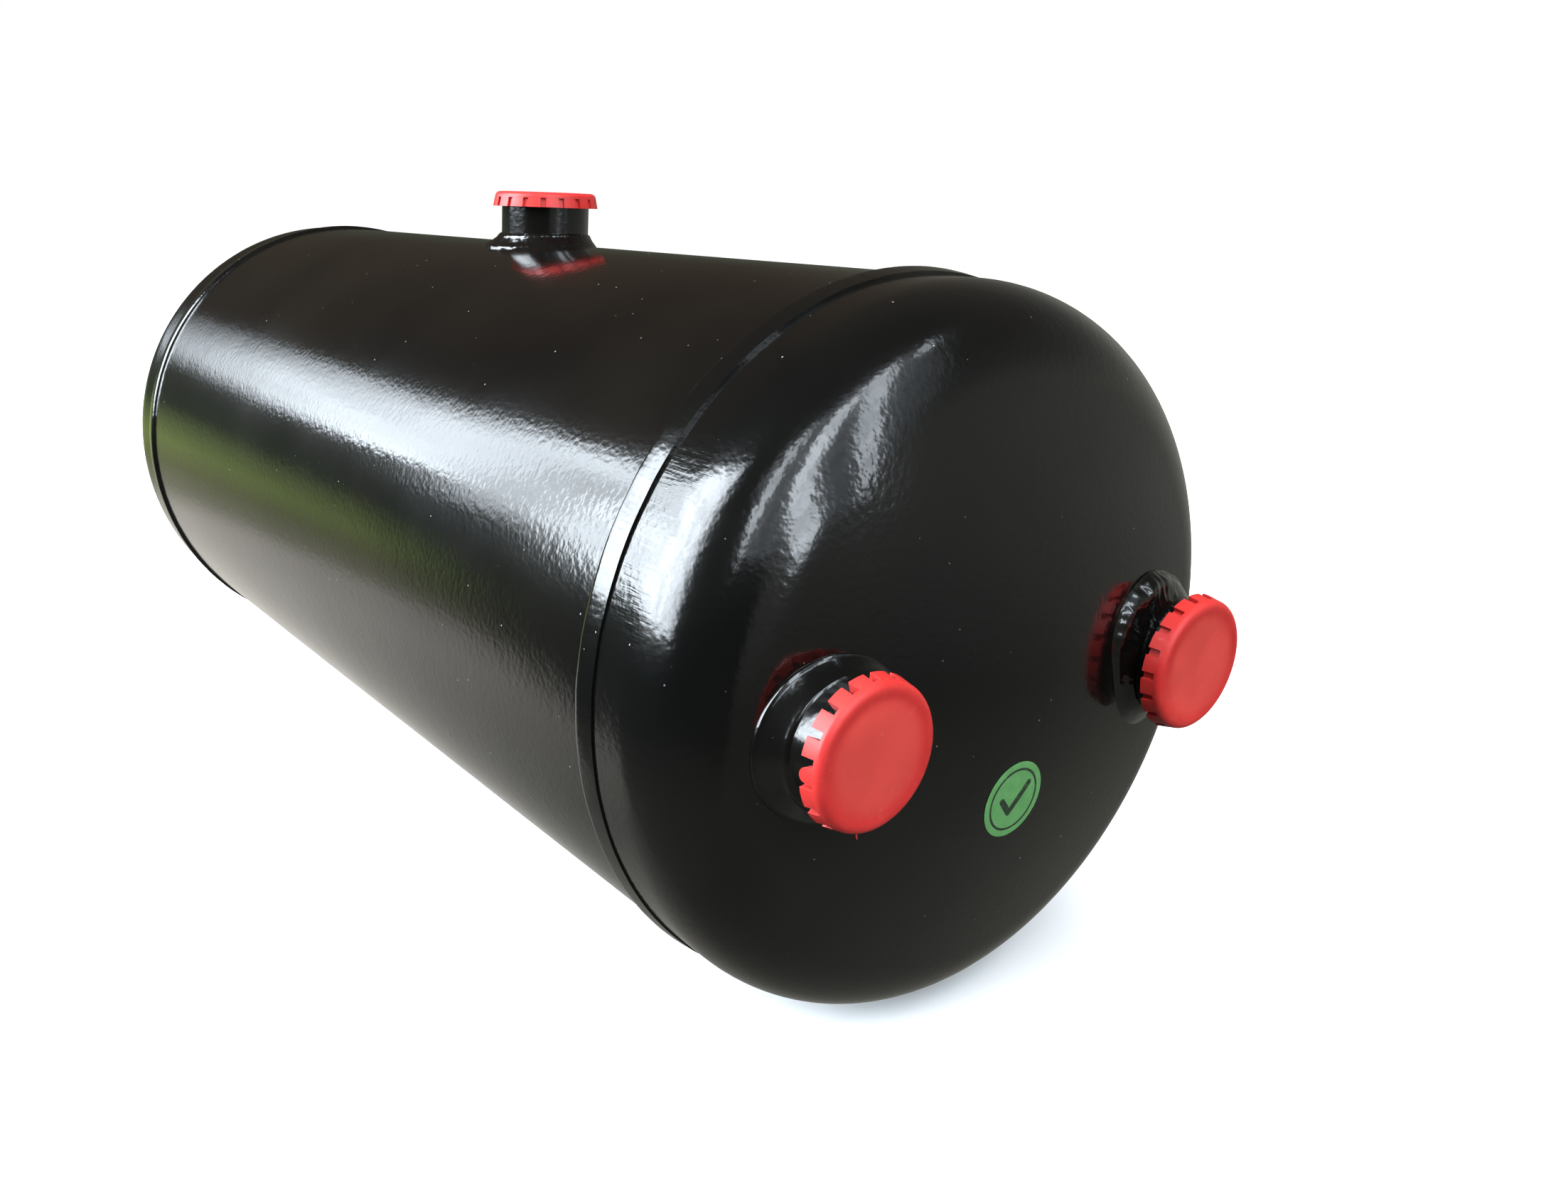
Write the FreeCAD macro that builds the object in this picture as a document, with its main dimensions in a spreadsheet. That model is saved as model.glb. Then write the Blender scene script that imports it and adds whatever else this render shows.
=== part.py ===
import FreeCAD, Part
import math
import os

import Sketcher

# Horizontal pressure tank, in millimetres, +Z up, +X out of the ported head.
# A rolled shell is closed by two dished heads, butt-welded to its ends.
# Three threaded bosses are welded in: one on top of the shell, and two side by
# side in the front head. Each is closed by a push-on cap with a notched skirt.
# Pieces are laid out from the tank's middle and axis. The origin is on the
# ground, under the middle of the whole object.

App = FreeCAD
doc = App.newDocument("pressure_tank")

SIZES = [
    ("tank_radius", 123.0, "outer radius of the shell and the heads"),
    ("shell_wall", 2.0, "sheet thickness of the shell"),
    ("head_wall", 2.0, "sheet thickness of the heads"),
    ("half_seam", 229.4, "middle of the tank to the middle of a girth weld"),
    ("weld_root", 1.5, "between the ends of shell and head, filled by the girth weld"),
    ("skirt_length", 18.3, "girth weld's middle to the end of a head's straight skirt"),
    ("knuckle_radius", 32.8, "outer radius of a head's knuckle"),
    ("crown_radius", 441.0, "outer radius of a head's crown"),
    ("weld_gap", 0.05, "between a weld and what it joins"),
    ("girth_weld_width", 9.3, "girth weld along the tank"),
    ("girth_weld_rise", 2.4, "girth weld above the shell"),
    ("lump_length", 7.0, "half the length of the lump where a girth weld starts or stops"),
    ("lump_rise", 0.6, "that lump above the rest of the weld"),
    ("lump_angle", 4.0, "start and stop lumps round the axis, from straight down"),
    ("seam_weld_width", 6.0, "long seam of the shell, across"),
    ("seam_weld_rise", 0.9, "long seam above the shell"),
    ("seam_angle", 155.0, "long seam round the axis, from straight up"),
    ("boss_radius", 19.75, "outer radius of a boss"),
    ("bore_radius", 15.15, "bore of a boss, the thread's minor radius"),
    ("boss_chamfer", 1.0, "chamfer inside a boss's mouth"),
    ("boss_gap", 0.2, "between a boss and its hole"),
    ("top_boss_inside", 6.0, "top boss below the shell's crest"),
    ("top_boss_out", 20.9, "mouth of the top boss above the shell's crest"),
    ("top_weld_out", 5.2, "upper edge of the top boss's weld above the shell's crest"),
    ("top_weld_leg", 5.5, "widening of the top boss's weld"),
    ("top_weld_drop", 7.7, "height over which it widens that much"),
    ("front_boss_inside", 12.0, "front boss behind the head's face at its axis"),
    ("front_boss_out", 16.1, "mouth of a front boss beyond the head's face at its axis"),
    ("front_port_offset", 75.4, "front boss axes to each side of the tank's axis"),
    ("front_weld_out", 5.9, "outer edge of a front weld beyond the head's face at its axis"),
    ("front_weld_leg", 4.85, "widening of a front weld from boss to head"),
    ("cap_wall", 3.95, "thickness of a cap's skirt at its open end"),
    ("cap_taper", 2.0, "narrowing of a cap from its open end to its face"),
    ("cap_height", 6.4, "cap over all"),
    ("cap_top", 1.6, "cap's end wall"),
    ("cap_edge", 1.6, "rounding between face and skirt"),
    ("cap_grip", 0.1, "between a cap's skirt and its boss"),
    ("cap_recess", 0.2, "sunk middle of a cap's face"),
    ("cap_rim", 3.2, "width of the raised rim round the sunk middle"),
    ("notch_count", 18, "notches round a cap's skirt"),
    ("notch_width", 2.5, "width of a notch"),
    ("notch_height", 3.9, "notch from the skirt's open end"),
    ("notch_depth", 1.5, "depth of a notch that isn't cut through"),
    ("top_cap_turn", 6.3, "top cap's notches round its axis, in degrees"),
    ("left_cap_turn", 3.2, "left cap's notches round its axis, in degrees"),
    ("right_cap_turn", 11.6, "right cap's notches round its axis, in degrees"),
    ("sticker_radius", 13.3, "inspection sticker"),
    ("sticker_thick", 0.15, "inspection sticker"),
    ("sticker_gap", 0.1, "under the sticker"),
    ("sticker_side", 2.3, "sticker centre to the side of the axis"),
    ("sticker_up", -36.2, "sticker centre above the axis"),
]

# Lengths that only have to reach past what they cut.
REACH = 60.0


def make_sheet():
    """Put the driving sizes in a spreadsheet, with an alias for each."""
    cells = doc.addObject("Spreadsheet::Sheet", "dims")
    for row, (alias, value, note) in enumerate(SIZES, start=1):
        cells.set(f"A{row}", alias)
        cells.set(f"B{row}", str(value))
        cells.set(f"C{row}", note)
        cells.setAlias(f"B{row}", alias)
    doc.recompute()
    return cells


sheet = make_sheet()


def formula(text):
    """Make @name in a formula read that cell of the spreadsheet."""
    return text.replace("@", "dims.")


def number(text):
    """The value that a formula has now, in millimetres."""
    return float(sheet.evalExpression(formula(text)))


# Formulas that several pieces share, from the tank's middle and axis.
SHELL_END = "(@half_seam - @weld_root / 2)"
HEAD_EDGE = "(@half_seam + @weld_root / 2)"
SKIRT_END = "(@half_seam + @skirt_length)"
KNUCKLE_CENTRE_RADIUS = "(@tank_radius - @knuckle_radius)"
KNUCKLE_TO_CROWN = "(@crown_radius - @knuckle_radius)"
CROWN_CENTRE = f"({SKIRT_END} - sqrt({KNUCKLE_TO_CROWN}^2 - {KNUCKLE_CENTRE_RADIUS}^2))"
HEAD_APEX = f"({CROWN_CENTRE} + @crown_radius)"
PORT_TO_CROWN = "sqrt(@crown_radius^2 - @front_port_offset^2)"
FRONT_PORT_FACE = f"({CROWN_CENTRE} + {PORT_TO_CROWN})"
HEAD_SLOPE = f"(@front_port_offset / {PORT_TO_CROWN})"
CAP_INNER_RADIUS = "(@boss_radius + @cap_grip)"
CAP_RADIUS = f"({CAP_INNER_RADIUS} + @cap_wall)"
CAP_FACE_RADIUS = f"({CAP_RADIUS} - @cap_taper)"
CAP_RECESS_RADIUS = f"({CAP_FACE_RADIUS} - @cap_rim)"
TOP_BOSS_END = "(@tank_radius + @top_boss_out)"
TOP_WELD_START = "(@tank_radius + @top_weld_out)"
FRONT_BOSS_END = f"({FRONT_PORT_FACE} + @front_boss_out)"
FRONT_WELD_START = f"({FRONT_PORT_FACE} + @front_weld_out)"
FRONT_WELD_FOOT = "(@boss_radius + @front_weld_leg)"
MIDDLE_X = f"(({HEAD_APEX} - {FRONT_BOSS_END} - @cap_top) / 2)"
LUMP_HEIGHT = "(@girth_weld_rise + @lump_rise)"
LUMP_COSINE = "cos(@lump_angle * 1 deg)"
LUMP_SINE = "sin(@lump_angle * 1 deg)"
LUMP_REACH = f"sqrt(({LUMP_HEIGHT} * {LUMP_COSINE})^2 + (@lump_length * {LUMP_SINE})^2)"
AXIS_HEIGHT = f"(@tank_radius * {LUMP_COSINE} + {LUMP_REACH})"


def move(item, x, y, z):
    """Bind an object's position."""
    item.setExpression("Placement.Base.x", formula(x))
    item.setExpression("Placement.Base.y", formula(y))
    item.setExpression("Placement.Base.z", formula(z))


def place(item, x="0", y="0", z="0"):
    """Bind an object's position, given from the tank's middle and axis."""
    move(item, f"{MIDDLE_X} + {x}", y, f"{AXIS_HEIGHT} + {z}")


def turn(item, axis, degrees):
    """Turn an object about one of the three axes through its own origin."""
    item.Placement = App.Placement(App.Vector(), App.Rotation(App.Vector(*axis), degrees))


ALONG_X = ((0, 1, 0), 90)
BACKWARDS = ((0, 0, 1), 180)


def plane_of(body, role):
    """One of a body's own origin planes."""
    for feature in body.Origin.OriginFeatures:
        if feature.Role == role:
            return feature
    raise ValueError(role)


def new_sketch(body, name, role):
    """An empty sketch on one of a body's origin planes."""
    sketch = body.newObject("Sketcher::SketchObject", name)
    sketch.AttachmentSupport = [(plane_of(body, role), "")]
    sketch.MapMode = "FlatFace"
    return sketch


def arc_between(start, end, radius, turn_left):
    """The shorter arc from start to end, and which of its ends is start."""
    chord = end - start
    middle = (start + end) * 0.5
    across = App.Vector(-chord.y, chord.x, 0)
    across.normalize()
    side = 1 if turn_left else -1
    centre = middle + across * (side * math.sqrt(radius ** 2 - (chord.Length / 2) ** 2))
    first, last = (start, end) if turn_left else (end, start)
    begin_angle = math.atan2(first.y - centre.y, first.x - centre.x)
    end_angle = math.atan2(last.y - centre.y, last.x - centre.x)
    if end_angle < begin_angle:
        end_angle += 2 * math.pi
    circle = Part.Circle(centre, App.Vector(0, 0, 1), radius)
    return Part.ArcOfCircle(circle, begin_angle, end_angle), (1, 2) if turn_left else (2, 1)


def bind(sketch, index, name, text):
    """Name a constraint and bind it to a formula."""
    sketch.renameConstraint(index, name)
    sketch.setExpression(f"Constraints.{name}", formula(text))


def hold(sketch, kind, edge, end, text, name):
    """Fix one coordinate of a corner: on an axis, or at a bound distance."""
    if text == "0":
        axis = -2 if kind == "DistanceX" else -1
        sketch.addConstraint(Sketcher.Constraint("PointOnObject", edge, end, axis))
        return
    distance = Sketcher.Constraint(kind, -1, 1, edge, end, number(text))
    bind(sketch, sketch.addConstraint(distance), name, text)


def close_loop(sketch, ends):
    """Join each edge's end to the next edge's start."""
    for index in range(len(ends)):
        after = (index + 1) % len(ends)
        sketch.addConstraint(
            Sketcher.Constraint("Coincident", index, ends[index][1], after, ends[after][0])
        )


def outline(body, name, corners):
    """Draw a closed outline whose corners and arc radii are bound to sizes.

    A corner is (x, y) before a straight edge, or (x, y, radius, turn) before
    an arc, where turn is "left" or "right".
    """
    sketch = new_sketch(body, name, "XZ_Plane")
    points = [App.Vector(number(corner[0]), number(corner[1]), 0) for corner in corners]
    ends = []
    for index, corner in enumerate(corners):
        start = points[index]
        end = points[(index + 1) % len(points)]
        if len(corner) == 2:
            sketch.addGeometry(Part.LineSegment(start, end), False)
            ends.append((1, 2))
        else:
            arc, order = arc_between(start, end, number(corner[2]), corner[3] == "left")
            sketch.addGeometry(arc, False)
            ends.append(order)
    close_loop(sketch, ends)
    for index, corner in enumerate(corners):
        hold(sketch, "DistanceX", index, ends[index][0], corner[0], f"{name}_x{index}")
        hold(sketch, "DistanceY", index, ends[index][0], corner[1], f"{name}_y{index}")
        if len(corner) > 2:
            radius = Sketcher.Constraint("Radius", index, number(corner[2]))
            bind(sketch, sketch.addConstraint(radius), f"{name}_radius{index}", corner[2])
    return sketch


def revolved(name, corners, axis):
    """A body turned from one outline about its sketch's own axis."""
    body = doc.addObject("PartDesign::Body", name)
    sketch = outline(body, f"{name}_outline", corners)
    turned = body.newObject("PartDesign::Revolution", f"{name}_revolution")
    turned.Profile = sketch
    turned.ReferenceAxis = (sketch, [axis])
    turned.Angle = 360
    sketch.Visibility = False
    return body


def cylinder(name, radius, height, axis=None):
    """A cylinder with bound sizes, along +Z unless it is turned."""
    item = doc.addObject("Part::Cylinder", name)
    item.setExpression("Radius", formula(radius))
    item.setExpression("Height", formula(height))
    if axis:
        turn(item, *axis)
    return item


def cut(name, base, tool):
    """Base with the tool taken away."""
    item = doc.addObject("Part::Cut", name)
    item.Base = base
    item.Tool = tool
    return item


def head_arcs(grow):
    """Skirt, knuckle and crown of a head's outside, from skirt to apex."""
    crown = f"(@crown_radius + {grow})"
    knuckle = f"(@knuckle_radius + {grow})"
    sine = f"({KNUCKLE_CENTRE_RADIUS} / {KNUCKLE_TO_CROWN})"
    return [
        (HEAD_EDGE, f"@tank_radius + {grow}"),
        (SKIRT_END, f"@tank_radius + {grow}", knuckle, "right"),
        (f"{CROWN_CENTRE} + {crown} * sqrt(1 - {sine}^2)", f"{crown} * {sine}", crown, "right"),
        (f"{CROWN_CENTRE} + {crown}", "0"),
    ]


def make_head(name):
    """A dished head of even thickness, open towards the tank's middle."""
    crown = "(@crown_radius - @head_wall)"
    knuckle = "(@knuckle_radius - @head_wall)"
    sine = f"({KNUCKLE_CENTRE_RADIUS} / {KNUCKLE_TO_CROWN})"
    inside = [
        (f"{CROWN_CENTRE} + {crown}", "0", crown, "left"),
        (f"{CROWN_CENTRE} + {crown} * sqrt(1 - {sine}^2)", f"{crown} * {sine}", knuckle, "left"),
        (SKIRT_END, "@tank_radius - @head_wall"),
        (HEAD_EDGE, "@tank_radius - @head_wall"),
    ]
    return revolved(name, head_arcs("0") + inside, "H_Axis")


def make_head_core():
    """The front head's outside as a solid, to trim the port welds with."""
    return revolved("head_core", [(HEAD_EDGE, "0")] + head_arcs("@weld_gap"), "H_Axis")


def make_girth_bead(name):
    """The butt weld between shell and head: a rounded bead over its root."""
    half = "@girth_weld_width / 2"
    root = "@weld_root / 2 - @weld_gap"
    foot = "@tank_radius + @weld_gap"
    rise = "(@girth_weld_rise - @weld_gap)"
    radius = f"(@girth_weld_width^2 / 4 + {rise}^2) / (2 * {rise})"
    corners = [
        (f"@half_seam - {half}", foot, radius, "right"),
        (f"@half_seam + {half}", foot),
        (f"@half_seam + {root}", foot),
        (f"@half_seam + {root}", "@tank_radius - @shell_wall"),
        (f"@half_seam - ({root})", "@tank_radius - @shell_wall"),
        (f"@half_seam - ({root})", foot),
    ]
    return revolved(name, corners, "H_Axis")


def make_lump(name, side):
    """The weld's start or stop, a low lump on the bead near its lowest point."""
    lump = doc.addObject("Part::Ellipsoid", name)
    lump.setExpression("Radius1", formula(LUMP_HEIGHT))
    lump.setExpression("Radius2", formula("@girth_weld_width / 2 - @weld_gap"))
    lump.setExpression("Radius3", formula("@lump_length"))
    turn(lump, (side, 0, 0), number("@lump_angle"))
    lump.setExpression("Placement.Rotation.Angle", formula("@lump_angle * 1 deg"))
    across = f"{side} * @tank_radius * {LUMP_SINE}"
    move(lump, "@half_seam", across, f"-1 * @tank_radius * {LUMP_COSINE}")
    return lump


def make_girth_weld(name, tank_core, flip):
    """A girth weld that overlaps its own start, with a lump at each end of that."""
    lumps = doc.addObject("Part::MultiFuse", f"{name}_lumps")
    lumps.Shapes = [make_lump(f"{name}_start", -1), make_lump(f"{name}_stop", 1)]
    above = cut(f"{name}_overlap", lumps, tank_core)
    weld = doc.addObject("Part::MultiFuse", name)
    weld.Shapes = [make_girth_bead(f"{name}_bead"), above]
    if flip:
        turn(weld, *BACKWARDS)
    place(weld)
    return weld


def make_shell():
    """The rolled shell, with the top boss's hole."""
    outside = cylinder("shell_outside", "@tank_radius", f"2 * {SHELL_END}", ALONG_X)
    inside = cylinder("shell_inside", "@tank_radius - @shell_wall", f"2 * {SHELL_END}", ALONG_X)
    for item in (outside, inside):
        place(item, x=f"-1 * {SHELL_END}")
    tube = cut("shell_tube", outside, inside)
    hole = cylinder("shell_hole", "@boss_radius + @boss_gap", f"@tank_radius + {REACH}")
    place(hole)
    return cut("shell", tube, hole)


def make_core(name):
    """The tank's outside as a solid, still to be placed, to trim welds with."""
    return cylinder(name, "@tank_radius + @weld_gap", f"2 * {SKIRT_END}", ALONG_X)


def make_seam_weld(shell_core):
    """The shell's long seam, a low bead low down on the far side."""
    crown = "((@seam_weld_width^2 / 4 + @seam_weld_rise^2) / (2 * @seam_weld_rise))"
    reach = f"(@tank_radius + @weld_gap + @seam_weld_rise - {crown})"
    half = "(@half_seam - @girth_weld_width / 2 - 2 * @weld_gap)"
    bead = cylinder("seam_bead", crown, f"2 * {half}", ALONG_X)
    place(
        bead,
        x=f"-1 * {half}",
        y=f"{reach} * sin(@seam_angle * 1 deg)",
        z=f"{reach} * cos(@seam_angle * 1 deg)",
    )
    return cut("shell_seam_weld", bead, shell_core)


def make_boss(name, start, end):
    """A threaded boss: a plain tube with a chamfered mouth."""
    corners = [
        ("@bore_radius", start),
        ("@boss_radius", start),
        ("@boss_radius", end),
        ("@bore_radius + @boss_chamfer", end),
        ("@bore_radius", f"{end} - @boss_chamfer"),
    ]
    return revolved(name, corners, "V_Axis")


def make_top_weld(shell_core):
    """The fillet weld round the top boss, trimmed by the shell."""
    depth = 3
    cone = doc.addObject("Part::Cone", "top_weld_cone")
    cone.setExpression("Radius1", formula(f"@boss_radius + @top_weld_leg * {depth}"))
    cone.setExpression("Radius2", formula("@boss_radius"))
    cone.setExpression("Height", formula(f"@top_weld_drop * {depth}"))
    place(cone, z=f"{TOP_WELD_START} - @top_weld_drop * {depth}")
    boss = cylinder("top_weld_boss", "@boss_radius + @weld_gap", TOP_WELD_START)
    place(boss)
    return cut("top_boss_weld", cut("top_weld_ring", cone, boss), shell_core)


def make_leaning_ring(name, x, radius, slope, side):
    """A closed curve, round when seen along X, that leans back by a slope."""
    ring = doc.addObject("Part::Ellipse", name)
    ring.setExpression("MajorRadius", formula(f"{radius} * sqrt(1 + ({slope})^2)"))
    ring.setExpression("MinorRadius", formula(radius))
    lean = App.Rotation(App.Vector(0, 0, 1), side * math.degrees(math.atan(number(slope))))
    facing_x = App.Rotation(App.Vector(1, 1, 1), 120)
    ring.Placement.Rotation = lean * facing_x
    place(ring, x=x, y=f"{side} * @front_port_offset")
    return ring


def make_front_weld(name, head_core, side):
    """The fillet weld round a front boss, leaning back as the head does."""
    foot_radius = f"(2 * {FRONT_WELD_FOOT} - @boss_radius)"
    foot_x = f"(2 * {FRONT_PORT_FACE} - {FRONT_WELD_START})"
    mouth_slope = f"({HEAD_SLOPE} / 2)"
    foot_rise = f"(2 * {HEAD_SLOPE} * {FRONT_WELD_FOOT} - {mouth_slope} * @boss_radius)"
    mouth = make_leaning_ring(f"{name}_mouth", FRONT_WELD_START, "@boss_radius", mouth_slope, side)
    foot = make_leaning_ring(f"{name}_foot", foot_x, foot_radius, f"{foot_rise} / {foot_radius}", side)
    flare = doc.addObject("Part::Loft", f"{name}_flare")
    flare.Sections = [foot, mouth]
    flare.Solid = True
    flare.Ruled = True
    boss = cylinder(f"{name}_boss", "@boss_radius + @weld_gap", FRONT_BOSS_END, ALONG_X)
    place(boss, x="0", y=f"{side} * @front_port_offset")
    return cut(name, cut(f"{name}_ring", flare, boss), head_core)


def make_notch(body, name, notch_start, spin):
    """The outline of one notch, on the plane of the skirt's open end."""
    notch = new_sketch(body, name, "XY_Plane")
    left = number(notch_start)
    right = number(f"{CAP_RADIUS} + @cap_edge")
    half = number("@notch_width") / 2
    ring = [(left, -half), (right, -half), (right, half), (left, half)]
    for index, (x, y) in enumerate(ring):
        after = ring[(index + 1) % len(ring)]
        notch.addGeometry(Part.LineSegment(App.Vector(x, y, 0), App.Vector(*after, 0)), False)
    close_loop(notch, [(1, 2)] * len(ring))
    for index, kind in enumerate(("Horizontal", "Vertical", "Horizontal")):
        notch.addConstraint(Sketcher.Constraint(kind, index))
    notch.addConstraint(Sketcher.Constraint("Symmetric", 3, 1, 3, 2, -1))
    hold(notch, "DistanceX", 0, 1, notch_start, "notch_start")
    hold(notch, "DistanceX", 0, 2, f"{CAP_RADIUS} + @cap_edge", "notch_end")
    width = Sketcher.Constraint("DistanceY", 1, 1, 1, 2, 2 * half)
    bind(notch, notch.addConstraint(width), "notch_width", "@notch_width")
    notch.setExpression("AttachmentOffset.Rotation.Angle", formula(f"{spin} * 1 deg"))
    return notch


def make_cap(name, notch_start):
    """A push-on cap: end wall, rounded rim and a skirt with notches."""
    corners = [
        (CAP_INNER_RADIUS, "0"),
        (CAP_RADIUS, "0"),
        (f"{CAP_FACE_RADIUS} + @cap_edge", "@cap_height - @cap_edge", "@cap_edge", "left"),
        (CAP_FACE_RADIUS, "@cap_height"),
        (CAP_RECESS_RADIUS, "@cap_height"),
        (CAP_RECESS_RADIUS, "@cap_height - @cap_recess"),
        ("0", "@cap_height - @cap_recess"),
        ("0", "@cap_height - @cap_top"),
        (CAP_INNER_RADIUS, "@cap_height - @cap_top"),
    ]
    body = revolved(name, corners, "V_Axis")
    doc.recompute()
    whole = body.Shape.Volume
    notch = make_notch(body, f"{name}_notch", notch_start, f"@{name}_turn")
    pocket = body.newObject("PartDesign::Pocket", f"{name}_pocket")
    pocket.Profile = notch
    pocket.Reversed = True
    pocket.setExpression("Length", formula("@notch_height"))
    pattern = body.newObject("PartDesign::PolarPattern", f"{name}_notches")
    pattern.Originals = [pocket]
    pattern.Axis = (notch, ["N_Axis"])
    pattern.Angle = 360
    pattern.setExpression("Occurrences", formula("@notch_count"))
    body.Tip = pattern
    doc.recompute()
    if not body.Shape.Volume < whole - 1:
        raise RuntimeError(f"{name}: the notches cut nothing")
    return body


def make_sticker():
    """A round paper sticker that follows the front head's crown."""
    balls = []
    for name, grow in (("outer", "@sticker_gap + @sticker_thick"), ("inner", "@sticker_gap")):
        ball = doc.addObject("Part::Sphere", f"sticker_{name}")
        ball.setExpression("Radius", formula(f"@crown_radius + {grow}"))
        place(ball, x=CROWN_CENTRE)
        balls.append(ball)
    skin = cut("sticker_skin", *balls)
    punch = cylinder("sticker_punch", "@sticker_radius", "@crown_radius", ALONG_X)
    place(punch, x="@half_seam", y="@sticker_side", z="@sticker_up")
    item = doc.addObject("Part::Common", "inspection_sticker")
    item.Base = skin
    item.Tool = punch
    return item


def make_ported_head(offsets):
    """The front head, with a hole for each front boss."""
    head = make_head("front_head_blank")
    place(head)
    for index, side in enumerate(offsets):
        hole = cylinder(f"front_hole_{index}", "@boss_radius + @boss_gap", HEAD_APEX, ALONG_X)
        place(hole, x="@half_seam", y=side)
        name = "front_head" if index == len(offsets) - 1 else f"front_head_cut_{index}"
        head = cut(name, head, hole)
    return head


def make_front_port(parts, word, side, head_core, notch_start):
    """One front boss with its weld and its cap."""
    across = f"{side} * @front_port_offset"
    boss = make_boss(f"{word}_boss", f"{FRONT_PORT_FACE} - @front_boss_inside", FRONT_BOSS_END)
    turn(boss, *ALONG_X)
    place(boss, y=across)
    cap = make_cap(f"{word}_cap", notch_start)
    turn(cap, *ALONG_X)
    place(cap, x=f"{FRONT_BOSS_END} + @cap_top - @cap_height", y=across)
    parts[f"{word}_boss"] = boss
    parts[f"{word}_boss_weld"] = make_front_weld(f"{word}_boss_weld", head_core, side)
    parts[f"{word}_cap"] = cap


def make_tank():
    """Every sub-part by its node's name."""
    parts = {"shell": make_shell()}
    parts["front_head"] = make_ported_head(("-1 * @front_port_offset", "@front_port_offset"))
    parts["rear_head"] = make_head("rear_head")
    turn(parts["rear_head"], *BACKWARDS)
    place(parts["rear_head"])
    lump_core = make_core("lump_core")
    move(lump_core, f"-1 * {SKIRT_END}", "0", "0")
    parts["front_girth_weld"] = make_girth_weld("front_girth_weld", lump_core, False)
    parts["rear_girth_weld"] = make_girth_weld("rear_girth_weld", lump_core, True)
    shell_core = make_core("shell_core")
    place(shell_core, x=f"-1 * {SKIRT_END}")
    parts["shell_seam_weld"] = make_seam_weld(shell_core)

    top_start = "@tank_radius - @top_boss_inside"
    parts["top_boss"] = make_boss("top_boss", top_start, TOP_BOSS_END)
    place(parts["top_boss"])
    parts["top_boss_weld"] = make_top_weld(shell_core)
    shallow = f"{CAP_RADIUS} - @notch_depth"
    parts["top_cap"] = make_cap("top_cap", shallow)
    place(parts["top_cap"], z=f"{TOP_BOSS_END} + @cap_top - @cap_height")

    head_core = make_head_core()
    place(head_core)
    through = f"{CAP_INNER_RADIUS} - @cap_edge"
    make_front_port(parts, "left", -1, head_core, through)
    make_front_port(parts, "right", 1, head_core, shallow)
    parts["inspection_sticker"] = make_sticker()
    return parts


def check(parts):
    """Stop unless every object computed and every piece is a sound solid."""
    for item in doc.Objects:
        if "Invalid" in item.State or "Error" in item.State:
            raise RuntimeError(f"{item.Name}: {item.State}")
    for name, item in parts.items():
        shape = item.Shape
        if shape.isNull() or not shape.isValid() or not shape.Solids:
            raise RuntimeError(f"{name}: no valid solid")


def main():
    """Build the tank, write one STEP file a piece and print their sizes."""
    parts = make_tank()
    for name, item in parts.items():
        item.Label = name
    doc.recompute()
    check(parts)
    os.makedirs("parts", exist_ok=True)
    for name, item in parts.items():
        item.Shape.exportStep(f"parts/{name}.step")
        box = item.Shape.BoundBox
        print(
            f"{name:20s} solids {len(item.Shape.Solids)} volume {item.Shape.Volume:10.1f}"
            f" x {box.XMin:8.2f} {box.XMax:8.2f} y {box.YMin:8.2f} {box.YMax:8.2f}"
            f" z {box.ZMin:8.2f} {box.ZMax:8.2f}"
        )


main()
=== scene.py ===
import math

import bmesh
import bpy
from mathutils import Matrix, Vector, noise


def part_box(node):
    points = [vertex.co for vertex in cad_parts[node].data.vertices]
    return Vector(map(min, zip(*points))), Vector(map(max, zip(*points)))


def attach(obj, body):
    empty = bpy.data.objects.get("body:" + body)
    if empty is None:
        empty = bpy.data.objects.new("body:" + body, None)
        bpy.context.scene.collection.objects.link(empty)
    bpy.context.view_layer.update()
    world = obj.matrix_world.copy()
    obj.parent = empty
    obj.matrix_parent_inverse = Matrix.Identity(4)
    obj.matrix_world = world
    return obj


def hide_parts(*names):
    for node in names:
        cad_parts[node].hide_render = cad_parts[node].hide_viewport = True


# The looks of a horizontal pressure tank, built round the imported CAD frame.
# Metres, +Z up, +X out of the ported head. The boxes of the CAD nodes give the
# places and the main sizes; each visible node is replaced by a finer mesh of the
# same shape, with the waviness, weld ripples, threads and moulded edges that the
# CAD leaves out.

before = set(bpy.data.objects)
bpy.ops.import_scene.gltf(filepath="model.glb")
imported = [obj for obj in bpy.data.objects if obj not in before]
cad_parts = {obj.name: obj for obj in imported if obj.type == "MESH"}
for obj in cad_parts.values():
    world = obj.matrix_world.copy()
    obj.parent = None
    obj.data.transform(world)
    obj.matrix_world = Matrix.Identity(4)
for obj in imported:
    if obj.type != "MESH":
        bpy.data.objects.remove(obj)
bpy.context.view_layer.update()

MM = 0.001
TAU = 2 * math.pi
CREASE = math.radians(35)


# ---------------------------------------------------------------- dimensions

def size(node, axis):
    """Extent of a CAD node along one axis."""
    low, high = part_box(node)
    return high[axis] - low[axis]


def middle(node):
    """Middle of a CAD node's box."""
    low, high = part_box(node)
    return (low + high) / 2


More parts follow.
